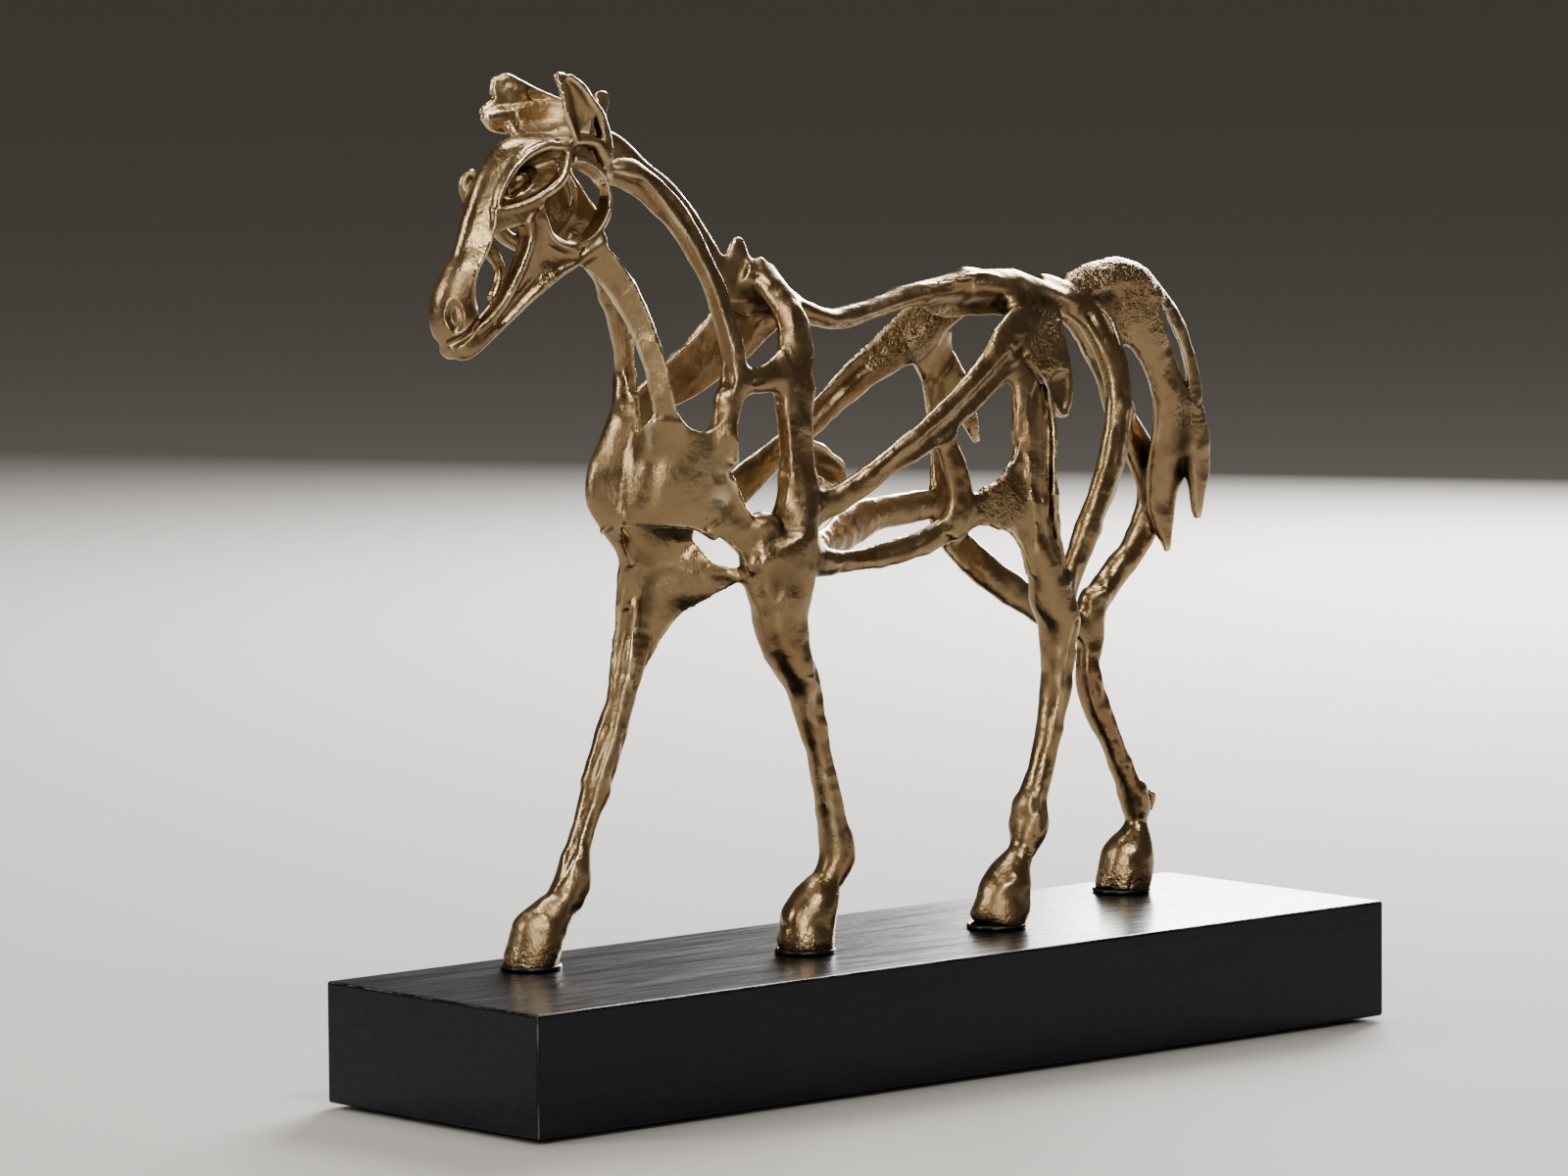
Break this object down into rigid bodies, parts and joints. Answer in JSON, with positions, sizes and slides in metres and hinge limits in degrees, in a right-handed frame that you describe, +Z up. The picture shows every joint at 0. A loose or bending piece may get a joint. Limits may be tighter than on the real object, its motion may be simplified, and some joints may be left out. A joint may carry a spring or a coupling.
{
  "type": "openwork horse statuette on plinth",
  "caption": "Openwork cast horse statuette, walking, made of joined bronze straps and bolted by its hooves to a rectangular black plinth.",
  "frame": {"origin": "centre of the plinth's footprint, on the plane the foot pads stand on", "axes": "+Z up; +X along the plinth's long side towards the tail, so the horse faces -X; +Y towards the horse's right side"},
  "size_m": [0.457, 0.128, 0.4043],
  "materials": {
    "bronze": "antique, dark in the hollows and rubbed bright on the edges",
    "plinth_lacquer": "black satin lacquer over fine grain",
    "steel": "plain zinc",
    "bead": "black setting compound",
    "pad": "black felt"
  },
  "bodies": {
    "root": {"back_bar": "bronze", "brisket": "bronze", "cheek_bridges": "bronze", "chest_shell": "bronze", "chest_side_strap": "bronze", "croup_plate": "bronze", "elbow_leaf": "bronze", "eyes": "bronze", "face_plate": "bronze", "far_belly_bar": "bronze", "far_buttock": "bronze", "far_cheek_ring": "bronze", "far_cheek_web": "bronze", "far_ear": "bronze", "far_eye_plate": "bronze", "far_flank_bar": "bronze", "far_fore_leg": "bronze", "far_fore_web": "bronze", "far_hind_leg": "bronze", "far_rib": "bronze", "far_rib_tip": "bronze", "far_shoulder": "bronze", "far_thigh": "bronze", "far_throat_ribbon": "bronze", "foot_pads": "pad", "forelock": "bronze", "forelock_stem": "bronze", "hoof_beads": "bead", "hoof_studs": "steel", "jaw_bars": "bronze", "jaw_plates": "bronze", "mane_blade": "bronze", "mane_tufts": "bronze", "muzzle": "bronze", "near_belly_bar": "bronze", "near_buttock": "bronze", "near_cheek_ring": "bronze", "near_crest": "bronze", "near_ear": "bronze", "near_eye_plate": "bronze", "near_flank_bar": "bronze", "near_flank_web": "bronze", "near_fore_leg": "bronze", "near_hind_leg": "bronze", "near_hip_lobe": "bronze", "near_rib": "bronze", "near_shoulder": "bronze", "near_shoulder_bridge": "bronze", "near_thigh": "bronze", "near_throat_ribbon": "bronze", "plinth": "plinth_lacquer", "poll_cap": "bronze", "poll_loop": "bronze", "stud_nuts": "steel", "stud_washers": "steel", "tail_dock": "bronze", "tail_inner": "bronze", "tail_outer": "bronze", "tail_root": "bronze"}
  },
  "joints": []
}
